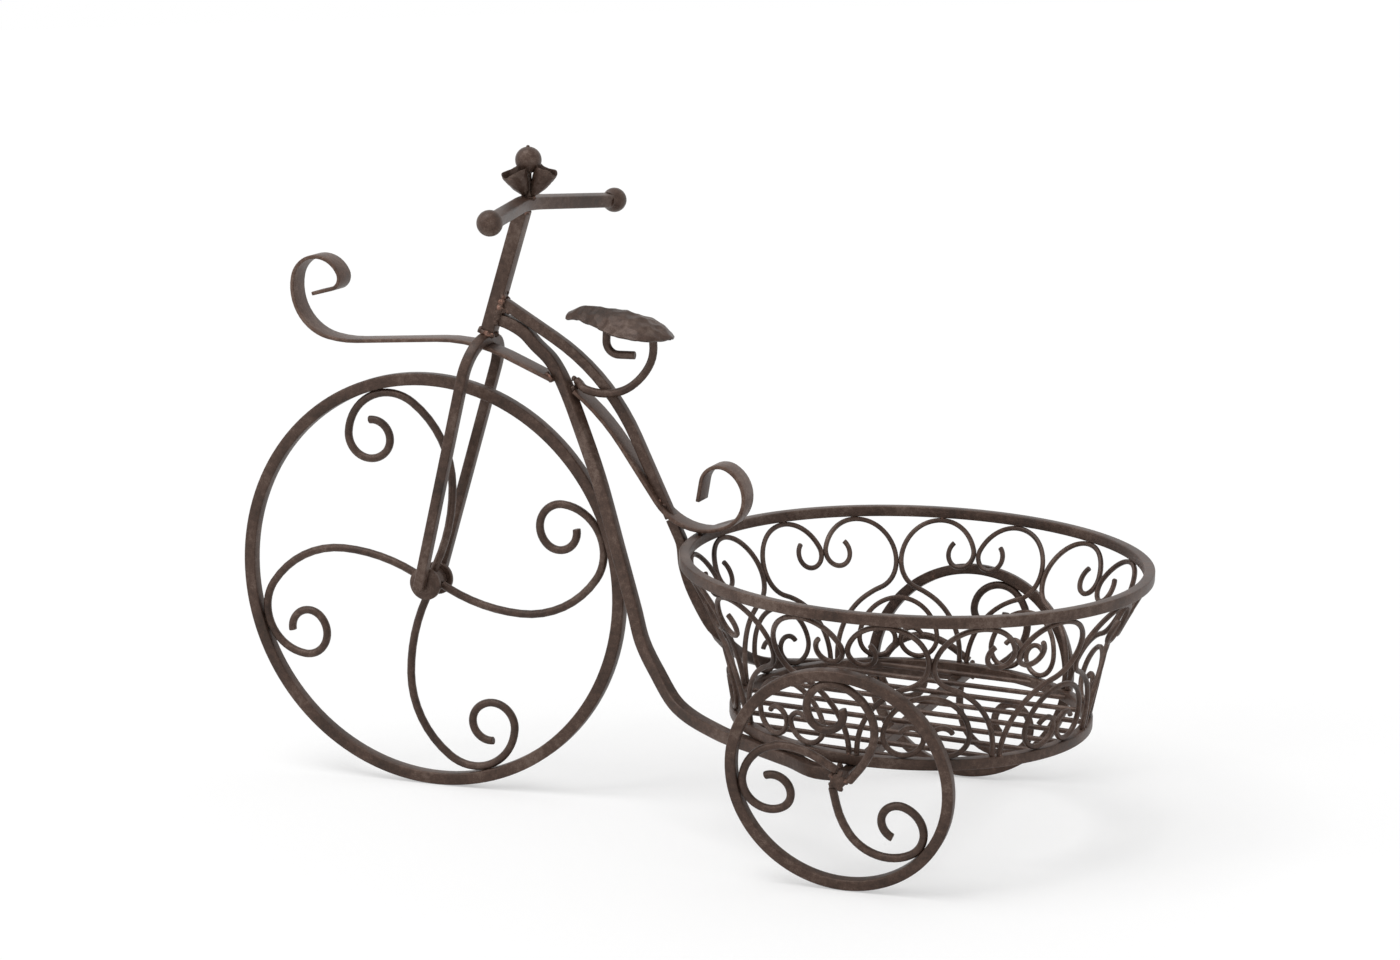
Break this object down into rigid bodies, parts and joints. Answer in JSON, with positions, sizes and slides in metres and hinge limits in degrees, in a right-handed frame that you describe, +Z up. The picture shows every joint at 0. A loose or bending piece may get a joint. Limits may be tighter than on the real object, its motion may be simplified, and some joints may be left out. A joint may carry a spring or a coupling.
{
  "type": "tricycle planter",
  "caption": "Wrought-iron tricycle plant stand: a large front wheel, two small rear wheels and a flared scrollwork basket that holds a flower pot.",
  "frame": {"origin": "on the floor under the middle of the bounding box", "axes": "+X from the front wheel to the basket, +Y to the far side from the mid plane, +Z up"},
  "size_m": [0.7358, 0.3474, 0.5061],
  "materials": {
    "iron": "satin dark bronze-brown paint",
    "hammered_iron": "hammered sheet with satin dark bronze-brown paint"
  },
  "bodies": {
    "frame": {"front_axle": "iron", "fork": "iron", "stem": "iron", "handlebar": "iron", "near_knob": "iron", "far_knob": "iron", "finial_ball": "iron", "finial_leaf_rear": "iron", "finial_leaf_front": "iron", "lower_bar": "iron", "upper_bar": "iron", "basket_bar": "iron", "front_strip": "iron", "rear_strip": "iron", "seat": "hammered_iron", "seat_scroll": "iron", "axle": "iron", "near_wheel_ring": "iron", "near_scroll_1": "iron", "near_scroll_2": "iron", "near_scroll_3": "iron", "near_stub": "iron", "far_wheel_ring": "iron", "far_scroll_1": "iron", "far_scroll_2": "iron", "far_scroll_3": "iron", "far_stub": "iron", "basket_rim": "iron", "base_grid": "iron", "heart_1_left": "iron", "heart_1_right": "iron", "heart_2_left": "iron", "heart_2_right": "iron", "heart_3_left": "iron", "heart_3_right": "iron", "heart_4_left": "iron", "heart_4_right": "iron", "heart_5_left": "iron", "heart_5_right": "iron", "heart_6_left": "iron", "heart_6_right": "iron", "heart_7_left": "iron", "heart_7_right": "iron", "heart_8_left": "iron", "heart_8_right": "iron", "arch_1": "iron", "arch_2": "iron", "arch_3": "iron", "arch_4": "iron", "arch_5": "iron", "arch_6": "iron", "arch_7": "iron", "arch_8": "iron"},
    "front_wheel": {"front_wheel_ring": "iron", "front_spoke_1": "iron", "front_spoke_2": "iron", "front_spoke_3": "iron", "front_spoke_4": "iron", "front_hub_barrel": "iron"}
  },
  "joints": [
    {"name": "front_wheel_spin", "type": "hinge", "parent": "frame", "child": "front_wheel", "pos_m": [-0.20314, 0, 0.16475], "axis": [0, 1, 0], "continuous": true}
  ]
}
